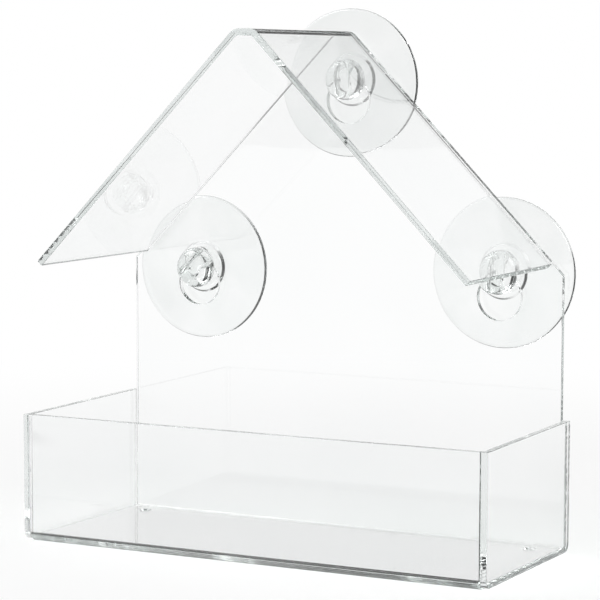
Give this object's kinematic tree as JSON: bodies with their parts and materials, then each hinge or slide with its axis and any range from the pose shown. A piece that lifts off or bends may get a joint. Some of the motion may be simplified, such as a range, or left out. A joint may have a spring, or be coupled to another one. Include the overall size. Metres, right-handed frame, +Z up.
{
  "type": "window bird feeder",
  "caption": "Clear window bird feeder: a bent acrylic tray and back panel with end walls, an open gabled roof, and suction cups that hang in keyholes.",
  "frame": {"origin": "middle of the flat underside of the tray", "axes": "+Z up; +Y towards the window that the cups hold; +X to the right seen from the front"},
  "size_m": [0.1503, 0.0662, 0.161],
  "materials": {
    "body_acrylic": "clear cast acrylic, polished, very faint green-grey",
    "wall_acrylic": "clear cast acrylic, polished, very faint green-grey",
    "roof_acrylic": "clear cast acrylic, polished, very faint green-grey",
    "cup_vinyl": "clear soft vinyl, glossy"
  },
  "bodies": {
    "feeder": {"body_sheet": "body_acrylic", "side_wall_left": "wall_acrylic", "side_wall_right": "wall_acrylic", "roof_sheet": "roof_acrylic"},
    "cup_left": {"suction_cup_left": "cup_vinyl"},
    "cup_top": {"suction_cup_top": "cup_vinyl"},
    "cup_right": {"suction_cup_right": "cup_vinyl"}
  },
  "joints": [
    {"name": "left_cup_slide", "type": "slide", "parent": "feeder", "child": "cup_left", "axis": [0, 0, 1], "range_m": [-0.0049, 0.0026]},
    {"name": "top_cup_slide", "type": "slide", "parent": "feeder", "child": "cup_top", "axis": [0, 0, 1], "range_m": [-0.0063, 0.0012]},
    {"name": "right_cup_slide", "type": "slide", "parent": "feeder", "child": "cup_right", "axis": [0, 0, 1], "range_m": [-0.0071, 0.0004]}
  ]
}
